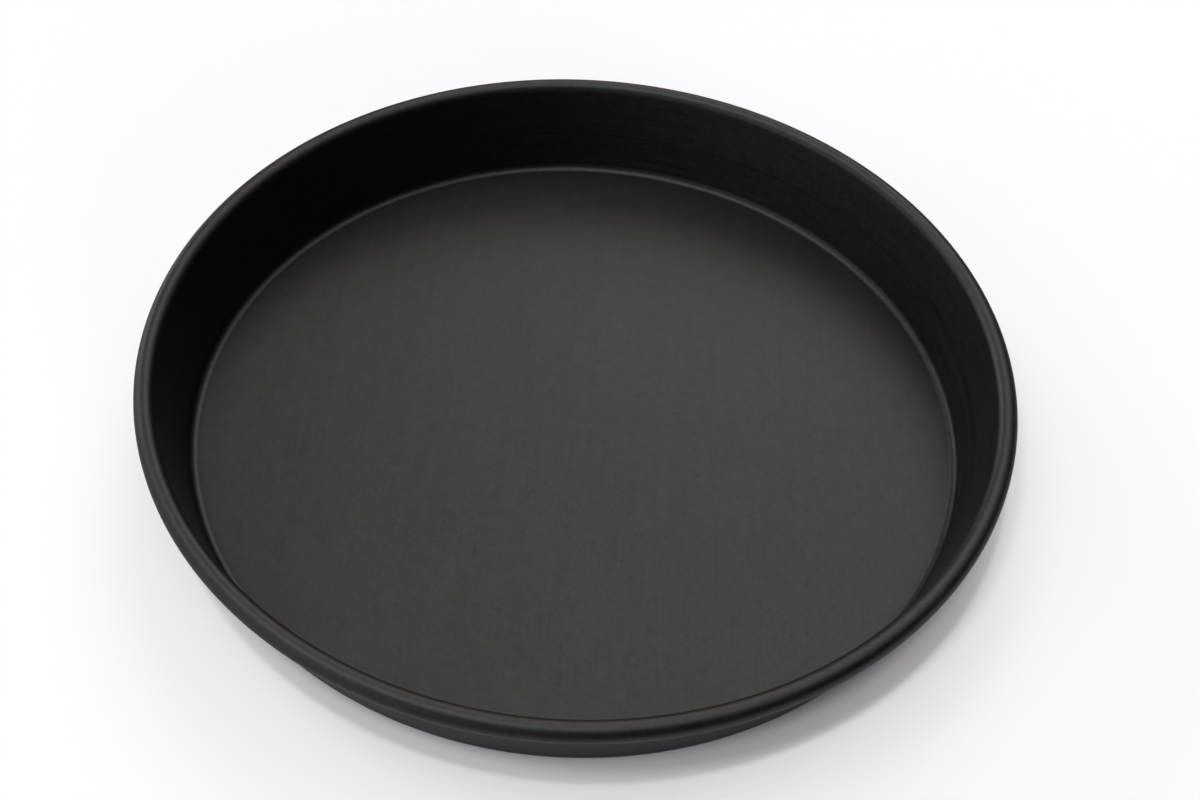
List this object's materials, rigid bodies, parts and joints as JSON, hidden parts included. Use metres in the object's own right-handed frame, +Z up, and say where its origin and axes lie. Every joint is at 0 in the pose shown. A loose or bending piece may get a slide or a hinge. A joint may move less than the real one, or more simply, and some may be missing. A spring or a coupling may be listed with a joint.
{
  "type": "pizza pan",
  "caption": "Round deep-dish pizza pan in dark anodised sheet, with a flat floor, a leaning wall and a hollow rolled bead round the rim.",
  "frame": {"origin": "centre of the flat underside, on the surface that the pan stands on", "axes": "+Z up along the pan's axis, out of its mouth; X and Y are alike, because the pan is round"},
  "size_m": [0.3196, 0.3195, 0.0397],
  "materials": {
    "anodised_sheet": "matt charcoal hard anodising, fine grain, satin where light grazes it"
  },
  "bodies": {
    "root": {"pan": "anodised_sheet"}
  },
  "joints": []
}
